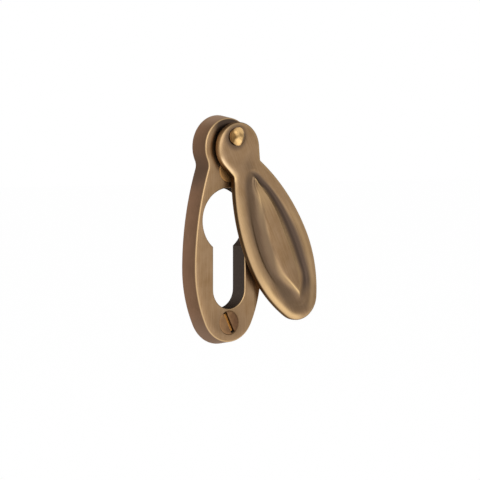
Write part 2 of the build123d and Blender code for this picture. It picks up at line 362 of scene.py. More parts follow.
def makeBrownedBrass(name, kind):
    b = brownedBrass
    hue = b[kind]
    mat = newMaterial(name)
    at = addNode(mat, "ShaderNodeTexCoord")
    grain = addNode(mat, "ShaderNodeTexNoise", {"Scale": mmPerMetre / b["grain"], "Detail": 3.0},
                    {"Vector": (at, "Object")})
    colour = addNode(mat, "ShaderNodeMix", {"data_type": "RGBA", 6: lin(hue["dark"]), 7: lin(hue["light"])},
                     {0: (grain, "Fac")})
    if "rim" in hue:  # paler near the mouth of the hole, where the painted shadow ends
        low, high = hue["rimFrom"]
        place = addNode(mat, "ShaderNodeSeparateXYZ", None, {"Vector": (at, "Object")})
        shallow = addNode(mat, "ShaderNodeMapRange", {"From Min": low, "From Max": high},
                          {"Value": (place, "Y")})
        colour = addNode(mat, "ShaderNodeMix", {"data_type": "RGBA", 7: lin(hue["rim"])},
                         {0: (shallow, "Result"), 6: (colour, 2)})
    bump = addNode(mat, "ShaderNodeBump", {"Strength": b["bump"], "Distance": b["bumpDepth"]},
                   {"Height": (grain, "Fac")})
    shader = addNode(mat, "ShaderNodeBsdfPrincipled",
                     {"Metallic": 1.0, "Roughness": b["rough"], "Specular Tint": lin(hue["sheen"])},
                     {"Base Color": (colour, 2), "Normal": (bump, "Normal")})
    addNode(mat, "ShaderNodeOutputMaterial", None, {"Surface": (shader, "BSDF")})
    return mat


# Worn brass on pin and screws: turned bar, browned with the rest, then rubbed bright on top by hammer and
# screwdriver. Brighter and yellower than the castings where it was struck, brown down the sides. Light and
# shade are painted on as well: the screws lighter at the left and darker at the right with a bright slot
# floor, the upper screw brighter, and the pin's head darker at its sides and near its seat.
screwWearPaintedLight = {
    "rough": 0.5, "patch": 1.4, "patchShift": (0.0, 0.0, 0.0), "patchFrom": (0.0, 1.0),
    # painted light: lighter at the left of the head, darker at the right
    "middle": -0.01, "paintedLightFrom": (0.013, 0.008), "tone": (-0.45, 0.55),
    # bright orange down in the slot: a painted reflection of the light
    "floor": "#b98242", "floorFrom": (-0.0048, -0.0052),
}
wornBrassPaintedLight = {
    "pin": {
        "bright": "#d8b178", "dull": "#634a2b",
        "rough": 0.26, "patch": 1.9, "patchShift": (0.077, 0.0511, 0.0329), "patchFrom": (0.3, 0.7),
        # painted light: brighter down the middle of the head, darker at either side
        "middle": 0.0004, "paintedLightFrom": (0.0024, 0.0006), "tone": (-1.0, 0.35),
        # darker near the seat of the head: patina and painted shade
        "floor": "#6a4a2a", "floorFrom": (-0.0088, -0.0092),
    },
    # the upper screw, in the cover's shade, is brighter than the lower: painted light
    "upper_screw": dict(screwWearPaintedLight, bright="#987145", dull="#704d2d"),
    "lower_screw": dict(screwWearPaintedLight, bright="#826345", dull="#5b402d"),
    "brown": ("#2f2319", "#3f2f20"),
    "brownFrom": (0.4, 0.6),
    "frontFrom": (-0.3, -0.6),
    "dullRougher": 0.12,
}


def makeWornBrassPaintedLight(name, kind):
    w = wornBrassPaintedLight
    b = w[kind]
    mat = newMaterial(name)
    at = addNode(mat, "ShaderNodeTexCoord")
    place = addNode(mat, "ShaderNodeSeparateXYZ", None, {"Vector": (at, "Object")})
    facing = addNode(mat, "ShaderNodeSeparateXYZ", None, {"Vector": (at, "Normal")})
    spread = addNode(mat, "ShaderNodeMapping", {"Location": b["patchShift"]}, {"Vector": (at, "Object")})
    patch = addNode(mat, "ShaderNodeTexNoise", {"Scale": mmPerMetre / b["patch"], "Detail": 1.0},
                    {"Vector": (spread, "Vector")})

    # bright in patches, plus painted light: the pin brighter down the middle and darker at its sides, the
    # screws lighter at the left and darker at the right
    off = addNode(mat, "ShaderNodeMath", {"operation": "SUBTRACT", 1: b["middle"]}, {0: (place, "X")})
    aside = addNode(mat, "ShaderNodeMath", {"operation": "ABSOLUTE"}, {0: (off, "Value")})
    low, high = b["paintedLightFrom"]
    least, most = b["tone"]
    side = addNode(mat, "ShaderNodeMapRange",
                   {"From Min": low, "From Max": high, "To Min": least, "To Max": most},
                   {"Value": (aside, "Value")})
    low, high = b["patchFrom"]
    rubbed = addNode(mat, "ShaderNodeMapRange", {"From Min": low, "From Max": high},
                     {"Value": (patch, "Fac")})
    tone = addNode(mat, "ShaderNodeMath", {"operation": "ADD", "use_clamp": True},
                   {0: (rubbed, "Result"), 1: (side, "Result")})
    metal = addNode(mat, "ShaderNodeMix", {"data_type": "RGBA", 6: lin(b["dull"]), 7: lin(b["bright"])},
                    {0: (tone, "Value")})
    # painted reflection in the screws' slot; patina and painted shade at the foot of the pin's head
    low, high = b["floorFrom"]
    height = addNode(mat, "ShaderNodeMapRange", {"From Min": low, "From Max": high},
                     {"Value": (place, "Y")})
    top = addNode(mat, "ShaderNodeMix", {"data_type": "RGBA", 6: lin(b["floor"])},
                  {0: (height, "Result"), 7: (metal, 2)})

    # brown wherever it does not face the front
    low, high = w["frontFrom"]
    front = addNode(mat, "ShaderNodeMapRange", {"From Min": low, "From Max": high},
                    {"Value": (facing, "Y")})
    low, high = w["brownFrom"]
    bathed = addNode(mat, "ShaderNodeMapRange", {"From Min": low, "From Max": high},
                     {"Value": (patch, "Fac")})
    dark, light = w["brown"]
    brown = addNode(mat, "ShaderNodeMix", {"data_type": "RGBA", 6: lin(dark), 7: lin(light)},
                    {0: (bathed, "Result")})
    colour = addNode(mat, "ShaderNodeMix", {"data_type": "RGBA"},
                     {0: (front, "Result"), 6: (brown, 2), 7: (top, 2)})
    rough = addNode(mat, "ShaderNodeMapRange",
                    {"To Min": b["rough"] + w["dullRougher"], "To Max": b["rough"]},
                    {"Value": (tone, "Value")})
    shader = addNode(mat, "ShaderNodeBsdfPrincipled", {"Metallic": 1.0},
                     {"Base Color": (colour, 2), "Roughness": (rough, "Result")})
    addNode(mat, "ShaderNodeOutputMaterial", None, {"Surface": (shader, "BSDF")})
    return mat


plateBrass = makeAntiqueBrass("antiqueBrassPlate", "plate")
coverBrass = makeAntiqueBrass("antiqueBrassCover", "cover")
keyholeBrass = makeBrownedBrass("brownedBrassKeyhole", "keyhole")
shadowedSinkBrass = makeBrownedBrass("brownedBrassSink", "sink")
pinBrass = makeWornBrassPaintedLight("wornBrassPin", "pin")
screwBrass = {
    "upper_screw": makeWornBrassPaintedLight("wornBrassUpper", "upper_screw"),
    "lower_screw": makeWornBrassPaintedLight("wornBrassLower", "lower_screw"),
}
print("materials ready")

# Back plate: egg outline with a round lug, leaning walls, rolled front edge, keyhole and holes
plate = {
    "halfWidth": 12.25, "widest": -13.2, "bottom": -34.4, "sideRadius": 36.0, "shoulderRadius": 85.0,
    "lugHeight": 20.4, "lugRadius": 8.7, "neckRound": 3.0, "thick": 5.4, "lean": 8.0,
    "edge": ((0.55, 82, 13, 7), (9.0, 13, 0, 6)),  # rolled round, then a slight crown
    "steps": {"foot": 22, "side": 28, "shoulder": 44, "neck": 8, "lug": 32},
    "keyholeRadius": 9.0, "slotHalf": 5.4, "slotEnd": -19.05, "keyholeEdge": 0.4,
    "keyholeSteps": {"end": 20, "round": 48, "edge": 5},
    "screws": (13.9, -28.35), "screwRim": 3.42, "screwShank": 1.9, "screwSteps": 64,
    "pivot": 23.3, "pinHole": 1.62, "pinTail": 2.62, "pinSteps": 48,
    "through": (-1.0, 7.0), "past": 1.0, "over": 0.2,  # how far the cutters reach out of the plate
    "holeSlack": 0.05, "keyholeTilt": 0.2, "sinkTilt": 0.8,  # which faces are walls of the holes
    "smooth": 32,
}


def modelKeyhole():  # what is cut out: round part, slot, and a flare for the rounded front edge
    p = plate
    steps = p["keyholeSteps"]
    radius = p["keyholeRadius"] + p["keyholeEdge"]
    half = p["slotHalf"] + p["keyholeEdge"]
    corner = math.sqrt(radius ** 2 - half ** 2)
    piece = newPoint("keyholeCutter", 0, p["slotEnd"] - half)
    arcOn((0, p["slotEnd"]), 90, steps["end"])
    lineOn(0, -corner - p["slotEnd"])
    arcOn((0, 0), 180 - math.degrees(math.atan2(half, corner)), steps["round"])
    bothHalves()
    fillOutline()
    bpy.ops.mesh.flip_normals()
    bpy.ops.transform.translate(value=(0, 0, p["thick"] + p["past"]))
    lineOn(0, 0, -p["past"])
    rollOver(((-p["keyholeEdge"], 0, 90, steps["edge"]),))  # minus, because the edge of the cutter is hollow
    lineOn(0, 0, -p["thick"] - p["past"])
    outward()
    return piece


def modelPlate():
    p = plate
    steps = p["steps"]
    sideX = p["halfWidth"] - p["sideRadius"]
    spare = p["sideRadius"] - p["widest"] + p["bottom"]
    footDrop = (sideX ** 2 - spare ** 2) / (2 * spare)  # the foot's centre below the side's
    sideTurn = math.degrees(math.atan2(footDrop, -sideX))
    lug = Vector((0, p["lugHeight"]))
    shoulder = Vector((p["halfWidth"] - p["shoulderRadius"], p["widest"]))
    far = p["shoulderRadius"] + p["neckRound"]
    near = p["lugRadius"] + p["neckRound"]
    apart = (lug - shoulder).length
    along = (far ** 2 - near ** 2 + apart ** 2) / (2 * apart)
    unit = (lug - shoulder) / apart
    neck = shoulder + along * unit + math.sqrt(far ** 2 - along ** 2) * Vector((unit.y, -unit.x))
    shoulderEnd = math.degrees(math.atan2(neck.y - shoulder.y, neck.x - shoulder.x))
    lugStart = math.degrees(math.atan2(neck.y - lug.y, neck.x - lug.x))
    piece = newPoint("plateCasting", 0, p["bottom"])
    arcOn((0, p["widest"] - footDrop), 90 - sideTurn, steps["foot"])
    arcOn((sideX, p["widest"]), sideTurn, steps["side"])
    arcOn(shoulder, shoulderEnd, steps["shoulder"])
    arcOn(neck, lugStart - shoulderEnd, steps["neck"])
    arcOn(lug, 90 - lugStart, steps["lug"])
    bothHalves()
    fillOutline()
    wall = p["thick"] - rollRise(p["edge"])
    lineOn(0, 0, 0)  # leaves a face for the back
    bpy.ops.mesh.inset(thickness=wall * math.tan(math.radians(p["lean"])), depth=wall, use_even_offset=True)
    rollOver(p["edge"])
    outward()
    cutAway(piece, modelKeyhole())
    bottom, top = p["through"]
    sinkFloor = p["thick"] - p["screwRim"] + p["screwShank"]
    for height in p["screws"]:
        drill(piece, height, p["screwSteps"], (p["screwShank"], sinkFloor),
              (p["screwRim"] + p["over"], p["thick"] + p["over"]))
        drill(piece, height, p["screwSteps"], (p["screwShank"], bottom), (p["screwShank"], top))
    drill(piece, p["pivot"], p["pinSteps"], (p["pinHole"], bottom), (p["pinHole"], top))
    drill(piece, p["pivot"], p["pinSteps"], (p["pinTail"] + p["over"], -p["over"]),
          (p["pinHole"], p["pinTail"] - p["pinHole"]))
    for brass in (plateBrass, keyholeBrass, shadowedSinkBrass):
        piece.data.materials.append(brass)
    slack = p["holeSlack"]
    for f in piece.data.polygons:  # walls of the holes keep the brown of the bath, the screw holes with painted shadow
        x, y = f.center.xy
        tilt = abs(f.normal.z)
        inRound = math.hypot(x, y) < p["keyholeRadius"] + slack
        inSlot = abs(x) < p["slotHalf"] + slack and p["slotEnd"] - p["slotHalf"] - slack < y < 0
        inSink = min(math.hypot(x, y - height) for height in p["screws"]) < p["screwRim"] - slack
        if tilt < p["keyholeTilt"] and (inRound or inSlot):
            f.material_index = 1
        if tilt < p["sinkTilt"] and inSink:
            f.material_index = 2
    hangUp(piece, "plate", "back_plate", p["smooth"])


modelPlate()

# Swing cover: leaf on a round lug, with a channel parallel to the leaf's edge round a long pointed boss.
# Heights count from the pivot. A pair says where something starts and where it is full, a row of three
# how much of it there is and then the same.
cover = {
    "halfWidth": 10.89, "widest": -34.7, "tip": -56.59, "sideRadius": 37.2, "shoulderRadius": 55.4,
    "lugDrop": -3.5, "lugRadius": 7.1, "neckDrop": -10.0, "neckRound": 0.35, "neckSteps": 4, "thick": 2.2,
    "edge": ((0.6, 90, 26, 8), (4.2, 26, 0, 9)),
    "steps": {"foot": 18, "side": 38, "shoulder": 48, "lug": 28},
    "backBevel": 0.35, "backSteps": 2, "backTilt": -0.5,
    "pinHole": 1.66, "pinSteps": 48, "through": (-3.0, 3.0),
    "swing": 26.3, "pivot": 23.3, "back": 6.3, "smooth": 60,
    "upperHalf": (-34.0, -26.0), "lowerHalf": (-40.0, -46.0),
    "relief": {
        "channelAt": 5.1, "channelDepth": 0.78, "hollowRadius": 1.6, "rimRadius": 2.9, "rimLift": 0.02,
        "headSoft": 1.5, "headFrom": (-14.0, -10.0),
        "headShallow": (0.45, -26.0, -13.0), "footShallow": (0.4, -42.0, -50.0),
        "rightShallow": (0.3, -38.0, -46.0), "rightFrom": (-1.0, 2.5),
        "bossTop": -13.0, "bossFoot": -49.7, "bossRise": 0.45, "bossEdge": 0.15, "bossHollow": 3.4,
        "bossLean": ((-12.5, 0.95), (-15.3, 0.6), (-18.2, 1.0), (-25.0, 0.75), (-33.0, 0.15), (-40.0, 0.25),
                     (-46.5, 0.8), (-53.0, 0.0)),  # height, to the right
        "leanFrom": (2.7, 6.0), "leanTries": 4,
        "bossFull": ((-12.5, 3.2), (-16.5, 1.75), (-21.0, 1.37), (-29.0, 1.02), (-40.0, 1.0),
                     (-50.0, 1.2)),  # height, times as steep
        "dent": 0.12, "dentAt": (-28.0, 5.0), "leftFrom": (0.8, -0.8),
        "edgeSoft": 1.15, "edgeCrisp": 0.1, "softLeast": 0.02, "softMost": 0.95,
        "crispHead": (-19.0, -14.0), "crispUpper": (-23.0, -15.0), "crispLower": (-35.0, -48.0),
        "rows": (10, 18, 12), "edgeRow": 0.03, "pastMiddle": 0.5,
        "steps": {"foot": 18, "side": 44, "shoulder": 72},
    },
    "patinaAndPaintedShade": {
        "middle": ((5.2, -0.4, -0.4), (4.7, 0.2, -0.3)),  # left, right: in from the edge, above, below
        "width": 0.6, "fade": 2.0, "from": (-7.0, -14.0), "toRight": (-0.6, 0.6),
        "strength": (0.72, 1.0), "strengthTo": (-52.0, -47.0), "footPaler": (0.2, -47.0, -52.0),
        "footWider": (0.6, -44.0, -50.0), "footFade": (2.0, -48.0, -52.0), "rightCrisper": 0.4,
        "flankWider": 2.0, "flankCrisper": 0.7, "flankFrom": (-17.0, -23.0), "flankTo": (-43.0, -33.0),
        "neck": (0.45, -5.5, -9.5), "neckWidth": 2.2, "neckTo": (-13.2, -12.8),
        "lowBoss": (0.22, -33.0, -44.0), "lowBossFrom": (6.8, 8.2),
        "tip": (0.3, -51.0, -54.0), "tipFrom": (-4.0, 0.0),
    },
    # pale where rubbed, and painted highlights on the boss, the left rim and the neck
    "rubAndPaintedLight": {
        "bossTop": (0.3, 6.2, 7.2), "bossTopAt": (-18.0, 5.0),
        "leftRim": ((1.4, 1.0), (1.0, 0.75)),  # above, below: in from the edge, width
        "leftRimFrom": (-0.5, -3.5),
        "leftRimUpper": (0.25, -12.0, -20.0), "leftRimLower": (0.4, -36.0, -46.0),
        "rightRim": (0.25, -22.0, -30.0), "rightRimAt": (2.2, 0.9), "rightRimFrom": (0.5, 3.5),
        "bossEdge": 0.8, "bossEdgeIn": 0.1, "bossEdgeWidth": 0.25,
        "edgeLower": (-40.0, -48.0), "edgeLowerFrom": (1.0, -0.5),
        "edgeUpper": (-19.5, -16.5), "edgeUpperFrom": (-0.3, 0.2),
        "neckTilt": ((0.45, 0.65), (0.97, 0.85)), "neckHeight": ((-4.5, -9.5), (-12.0, -10.3)),
        "neckFrom": (-0.5, -3.0),
    },
    "paintFloor": 0.01,
}
relief = cover["relief"]
leafSide = cover["halfWidth"] - cover["sideRadius"]  # centres of the leaf's arcs
leafShoulder = cover["halfWidth"] - cover["shoulderRadius"]
leafDrop = cover["widest"] - cover["tip"]
leafSlack = cover["sideRadius"] - leafDrop
leafEnd = (leafSide ** 2 - leafSlack ** 2) / (2 * leafSlack)
leafTurn = math.degrees(math.atan2(leafEnd, -leafSide))
channelReach = relief["hollowRadius"] + relief["rimRadius"]
channelFall = relief["channelDepth"] + relief["rimLift"]
channelOut = math.sqrt(2 * channelReach * channelFall - channelFall ** 2)  # from its bottom to either side
channelIn = math.sqrt(relief["bossHollow"] ** 2
                      - (relief["bossHollow"] - relief["channelDepth"] - relief["bossEdge"]) ** 2)


def ramp(value, low, high):  # 0 at low, 1 at high, smooth between
    t = min(1.0, max(0.0, (value - low) / (high - low)))
    return t * t * (3 - 2 * t)


def swell(row, value):  # a row of three: how much, where it starts, where it is full
    much, start, full = row
    return much * ramp(value, start, full)


def bell(value, middle, width):  # 1 at the middle, gone two widths away
    return math.exp(-((value - middle) / width) ** 2)


def curve(points, y):  # smooth line through points that go from the top down
    last = len(points) - 1
    i = 0
    while i < last - 1 and y < points[i + 1][0]:
        i += 1
    (ya, a), (yb, b) = points[i], points[i + 1]
    before, after = points[max(0, i - 1)], points[min(last, i + 2)]
    t = min(1.0, max(0.0, (ya - y) / (ya - yb)))
    leave = (b - before[1]) * (ya - yb) / (before[0] - yb)
    reach = (after[1] - a) * (ya - yb) / (ya - after[0])
    return (a + (b - a) * t * t * (3 - 2 * t)) + leave * t * (1 - t) ** 2 - reach * t * t * (1 - t)


def fromEdge(x, y):  # how far in from the leaf's edge
    c = cover
    start, full = relief["headFrom"]
    head = min(1.0, max(0.0, (y - start) / (full - start)))
    x = math.hypot(x, relief["headSoft"] * head)  # the two channels run together softly
    if y >= c["widest"]:
        return c["shoulderRadius"] - math.hypot(x - leafShoulder, y - c["widest"])
    if math.degrees(math.atan2(c["widest"] - y, x - leafSide)) <= leafTurn:
        return c["sideRadius"] - math.hypot(x - leafSide, y - c["widest"])
    return leafDrop - leafEnd - math.hypot(x, y - c["widest"] + leafEnd)


def lean(x, y):  # the boss is not quite straight
    return curve(relief["bossLean"], y) * ramp(fromEdge(x, y), *relief["leanFrom"])


def bossSide(x, y, s):  # channel wall, dome and the softness between, s in from the channel's bottom
    r = relief
    toLeft = ramp(x, *r["leftFrom"])
    s *= curve(r["bossFull"], y) * (1 - r["dent"] * toLeft * bell(y, *r["dentAt"]))
    hollow = r["bossHollow"]
    wall = math.inf if s >= hollow else hollow - r["channelDepth"] - math.sqrt(hollow ** 2 - s ** 2)
    edgeX = cover["halfWidth"] - r["channelAt"] - channelIn
    fall = r["bossRise"] - r["bossEdge"]
    along = (2 * y - r["bossTop"] - r["bossFoot"]) / (r["bossTop"] - r["bossFoot"])
    dome = r["bossRise"] - fall * (x / edgeX) ** 2 - fall * along ** 2
    crispLeft = toLeft * max(ramp(y, *r["crispUpper"]), ramp(y, *r["crispLower"]))
    crisp = max(ramp(y, *r["crispHead"]), crispLeft)
    soft = r["edgeCrisp"] + (r["edgeSoft"] - r["edgeCrisp"]) * (1 - crisp)
    return wall, dome, max(r["softLeast"], min(soft, r["softMost"] * (dome + r["channelDepth"])))


def fullRelief(x, y):
    r = relief
    s = fromEdge(x, y) - r["channelAt"]
    hollow = r["hollowRadius"]
    if s <= -channelOut:
        return 0.0
    if s < -channelOut * hollow / channelReach:
        rim = math.sqrt(r["rimRadius"] ** 2 - (s + channelOut) ** 2)
        return min(0.0, r["rimLift"] - r["rimRadius"] + rim)
    if s <= 0:
        return hollow - r["channelDepth"] - math.sqrt(hollow ** 2 - s ** 2)
    wall, dome, soft = bossSide(x, y, s)
    near = max(0.0, soft - abs(wall - dome)) / soft
    return min(wall, dome) - near ** 2 * soft / 4  # soft edge, crisp at the upper right and the lower left


def reliefHeight(x, y):  # above the rim, the channel runs out shallower at both ends
    r = relief
    height = fullRelief(x, y)
    if height < 0:
        ends = swell(r["headShallow"], y) + swell(r["footShallow"], y)
        height *= 1 - ends - swell(r["rightShallow"], y) * ramp(x, *r["rightFrom"])
    return height


def modelRelief():  # rows along the leaf's edge, spun round its arcs, trimmed at the middle and mirrored
    c, r = cover, relief
    steps = r["steps"]
    wallRows, bossRows, topRows = r["rows"]
    first = r["channelAt"] - channelOut
    crisp = r["channelAt"] + channelIn + r["edgeRow"]
    rows = [first + channelOut * i / wallRows for i in range(wallRows + 1)]
    rows += [r["channelAt"] + (crisp - r["channelAt"]) * i / bossRows for i in range(1, bossRows + 1)]
    rows += [crisp + (c["halfWidth"] - crisp) * i / topRows for i in range(1, topRows)]
    rows += [c["halfWidth"] + r["pastMiddle"]]
    meet = math.degrees(math.acos(-leafShoulder / (c["shoulderRadius"] - first)))
    piece = newPoint("coverCasting", c["halfWidth"] - first, c["widest"])
    for a, b in zip(rows, rows[1:]):
        lineOn(a - b, 0)
    bpy.ops.mesh.select_all(action="SELECT")
    arcOn((leafShoulder, c["widest"]), meet, steps["shoulder"])
    pick("verts", lambda v: abs(v.co.y - c["widest"]) < onLine)
    arcOn((leafSide, c["widest"]), -leafTurn, steps["side"])
    bpy.ops.mesh.select_all(action="SELECT")
    bpy.ops.mesh.bisect(plane_co=(0, 0, 0), plane_no=(1, 0, 0), clear_inner=True, threshold=weld["cut"])
    up, along = math.sin(math.radians(leafTurn)), math.cos(math.radians(leafTurn))
    pick("verts", lambda v: abs((v.co.x - leafSide) * up + (v.co.y - c["widest"]) * along) < 2 * onLine)
    arcOn((0, c["widest"] - leafEnd), leafTurn - 90, steps["foot"])
    bpy.ops.mesh.select_all(action="SELECT")
    bpy.ops.mesh.remove_doubles(threshold=weld["rows"])
    bothHalves()
    bpy.ops.object.mode_set(mode="OBJECT")
    for v in piece.data.vertices:
        v.co.z = c["thick"] + reliefHeight(v.co.x, v.co.y)
        v.co.x += lean(v.co.x, v.co.y)
    return piece


def patinaAndPaintedShadeOn(x, y, inward):  # brown left in the channel and up the neck, and painted shade low on the boss and at its tip
    p = cover["patinaAndPaintedShade"]
    toRight = ramp(x, *p["toRight"])
    upper, lower = ramp(y, *cover["upperHalf"]), ramp(y, *cover["lowerHalf"])
    left, right = (at + above * upper + below * lower for at, above, below in p["middle"])
    middle = left + (right - left) * toRight
    reach = p["width"] + swell(p["footWider"], y)
    fade = p["fade"]
    if inward > middle:  # lies further up the boss at the left
        more = (1 - toRight) * ramp(y, *p["flankFrom"]) * ramp(y, *p["flankTo"])
        reach += p["flankWider"] * more
        fade -= p["flankCrisper"] * more
    else:
        fade += swell(p["footFade"], y) - p["rightCrisper"] * upper * toRight
    channel = ramp(abs(inward - middle), reach + fade, reach) * ramp(y, *p["from"])
    neck = swell(p["neck"], y) * bell(x, 0.0, p["neckWidth"]) * ramp(y, *p["neckTo"])
    # painted shade: darker low on the boss and at its tip, which slope down away from the light
    low = swell(p["lowBoss"], y) * ramp(inward, *p["lowBossFrom"])
    low += swell(p["tip"], y) * ramp(x, *p["tipFrom"])
    weak, strong = p["strength"]
    strength = weak + (strong - weak) * toRight * ramp(y, *p["strengthTo"])
    return strength * (1 - swell(p["footPaler"], y)) * max(channel, neck, low)


def rubAndPaintedLightOn(x, y, inward, tilt):  # pale where rubbed on the rims, painted highlights on the boss's top and edges, the left rim and round the neck
    w = cover["rubAndPaintedLight"]
    lower = ramp(y, *cover["lowerHalf"])
    # painted highlight on the top of the boss
    bossTop = swell(w["bossTop"], inward) * bell(y, *w["bossTopAt"])
    at, width = (above + (below - above) * lower for above, below in zip(*w["leftRim"]))
    # the left rim: rubbed, and a painted highlight of the light from the left
    leftRim = bell(inward, at, width) * ramp(x, *w["leftRimFrom"])
    leftRim *= swell(w["leftRimUpper"], y) + swell(w["leftRimLower"], y)
    rightRim = swell(w["rightRim"], y) * bell(inward, *w["rightRimAt"]) * ramp(x, *w["rightRimFrom"])
    # painted highlight along the crisp edges of the boss
    bossEdge = 0.0
    if inward > relief["channelAt"]:
        at = relief["channelAt"] + channelIn / curve(relief["bossFull"], y) + w["bossEdgeIn"]
        bossEdge = w["bossEdge"] * bell(inward, at, w["bossEdgeWidth"])
        bossEdge *= max(ramp(y, *w["edgeLower"]) * ramp(x, *w["edgeLowerFrom"]),
                        ramp(y, *w["edgeUpper"]) * ramp(x, *w["edgeUpperFrom"]))
    # painted highlight round the neck's left edge
    neckRim = ramp(x, *w["neckFrom"])
    for pair in w["neckTilt"]:
        neckRim *= ramp(tilt, *pair)
    for pair in w["neckHeight"]:
        neckRim *= ramp(y, *pair)
    return max(bossTop, leftRim, rightRim, bossEdge, neckRim)


def modelCover():
    c = cover
    steps = c["steps"]
    piece = modelRelief()
    up = math.asin((c["neckDrop"] - c["widest"]) / c["shoulderRadius"])
    neck = Vector((leafShoulder + c["shoulderRadius"] * math.cos(up), c["neckDrop"] - c["lugDrop"]))
    aim = math.atan2(neck.y, neck.x) + math.acos(c["lugRadius"] / neck.length)
    touch = c["lugRadius"] * Vector((math.cos(aim), math.sin(aim)))
    newPoint("coverBlank", 0, c["tip"])
    arcOn((0, c["widest"] - leafEnd), 90 - leafTurn, steps["foot"])
    arcOn((leafSide, c["widest"]), leafTurn, steps["side"])
    arcOn((leafShoulder, c["widest"]), math.degrees(up), steps["shoulder"])
    lineOn(touch.x - neck.x, touch.y - neck.y)
    arcOn((0, c["lugDrop"]), 90 - math.degrees(aim), steps["lug"])
    bothHalves()
    fillOutline()
    pick("verts", lambda v: abs(v.co.y - c["neckDrop"]) < onLine)
    bpy.ops.mesh.bevel(offset=c["neckRound"], segments=c["neckSteps"], affect="VERTICES")
    pick("faces", lambda f: True)
    lineOn(0, 0, c["thick"] - rollRise(c["edge"]))
    rollOver(c["edge"])
    bpy.ops.mesh.delete(type="ONLY_FACE")
    bpy.ops.object.mode_set(mode="OBJECT")
    piece.select_set(True)
    bpy.context.view_layer.objects.active = piece
    bpy.ops.object.join()
    bpy.ops.object.mode_set(mode="EDIT")
    pick("edges", lambda e: e.is_boundary)
    bpy.ops.mesh.fill(use_beauty=True)  # the flat rim between edge and channel
    outward()
    bpy.ops.object.mode_set(mode="EDIT")
    pick("edges", lambda e: all(v.co.z < onLine for v in e.verts)
         and any(f.normal.z > c["backTilt"] for f in e.link_faces))
    bpy.ops.mesh.bevel(offset=c["backBevel"], segments=c["backSteps"], affect="EDGES")
    bpy.ops.object.mode_set(mode="OBJECT")
    bottom, top = c["through"]
    drill(piece, 0, c["pinSteps"], (c["pinHole"], bottom), (c["pinHole"], top))
    # the first holds patina and painted shade, the second rubbing and painted highlights
    dark = piece.data.attributes.new("hollow", "FLOAT", "POINT")
    worn = piece.data.attributes.new("worn", "FLOAT", "POINT")
    for i, v in enumerate(piece.data.vertices):
        x, y, z = v.co
        for again in range(relief["leanTries"]):  # back to where it lay before it leant
            x = v.co.x - lean(x, y)
        inward = fromEdge(x, y)
        if z > c["thick"] - relief["channelDepth"] - c["paintFloor"]:
            dark.data[i].value = patinaAndPaintedShadeOn(x, y, inward)
            worn.data[i].value = rubAndPaintedLightOn(x, y, inward, v.normal.z)
    piece.data.materials.append(coverBrass)
    piece.rotation_euler = (0, 0, math.radians(c["swing"]))
    piece.location = (0, c["pivot"], c["back"])
    hangUp(piece, "cover", "swing_cover", c["smooth"])


modelCover()

# Pivot pin: turned stem with a hammered head in front and a tail riveted over into the back
pin = {
    "profile": ((0, 0.1), (2.5, 0.1), (1.6, 1.0), (1.6, 8.56), (2.2, 8.56), (2.3, 8.75), (2.5, 8.95),
                (2.56, 9.12)),
    "domeRadius": 3.9, "domeHalf": 2.5, "domeSteps": 14, "crown": 10.01, "steps": 56,
    "blows": ((265, 27, 0.11), (200, 28, 0.04), (325, 30, 0.04), (90, 30, 0.04), (25, 26, 0.03),
              (145, 30, 0.03)),  # hammer blows: side, tilt, depth
    "headFrom": 8.6, "offCentre": 0.35, "pivot": 23.3, "smooth": 7,
}


def modelPin():
    p = pin
    middle = p["crown"] - p["domeRadius"]
    wide = math.asin(p["domeHalf"] / p["domeRadius"])
    tilts = [wide * (1 - i / p["domeSteps"]) for i in range(p["domeSteps"] + 1)]
    dome = [(p["domeRadius"] * math.sin(t), middle + p["domeRadius"] * math.cos(t)) for t in tilts]
    piece = lathe("pivotPin", [*p["profile"], *dome], p["steps"])
    bpy.ops.object.mode_set(mode="EDIT")
    for side, tilt, depth in p["blows"]:
        a, t = math.radians(side), math.radians(tilt)
        way = Vector((math.sin(t) * math.cos(a), math.sin(t) * math.sin(a), math.cos(t)))
        bpy.ops.mesh.select_all(action="SELECT")
        bpy.ops.mesh.bisect(plane_co=Vector((0, 0, middle)) + way * (p["domeRadius"] - depth), plane_no=way,
                            use_fill=True, clear_outer=True, threshold=weld["cut"])
    pick("verts", lambda v: v.co.z > p["headFrom"])
    bpy.ops.transform.translate(value=(p["offCentre"], 0, 0))
    outward()
    piece.location = (0, p["pivot"], 0)
    piece.data.materials.append(pinBrass)
    hangUp(piece, "plate", "pivot_pin", p["smooth"])


modelPin()

# Wood screws: countersunk slotted head, plain shank in the plate, thread and gimlet point in the door
screw = {
    "profile": ((0, 5.38), (2.85, 5.38), (3.08, 5.36), (3.22, 5.31), (3.28, 5.26), (1.75, 3.73),
                (1.75, -0.1), (1.2, -0.6), (0, -0.6)),
    "steps": 64, "slotWidth": 1.1, "slotDepth": 0.75, "slotLength": 8.0,
    "slotEdge": 0.06, "slotEdgeSteps": 2, "slotEdgeFrom": 5.3,
    "pitch": 1.5, "turns": 6, "turnSteps": 28, "root": 1.22, "crest": 1.72, "valley": 0.5, "flank": 0.22,
    "land": 0.06, "threadTop": 0.9, "point": -7.4, "pointThin": 0.04, "taper": 3.4, "taperCurve": 0.8,
    "smooth": 30,
    "upper_screw": {"name": "upperScrew", "height": 13.9, "slotTurn": 48.0},
    "lower_screw": {"name": "lowerScrew", "height": -28.35, "slotTurn": 26.7},
}


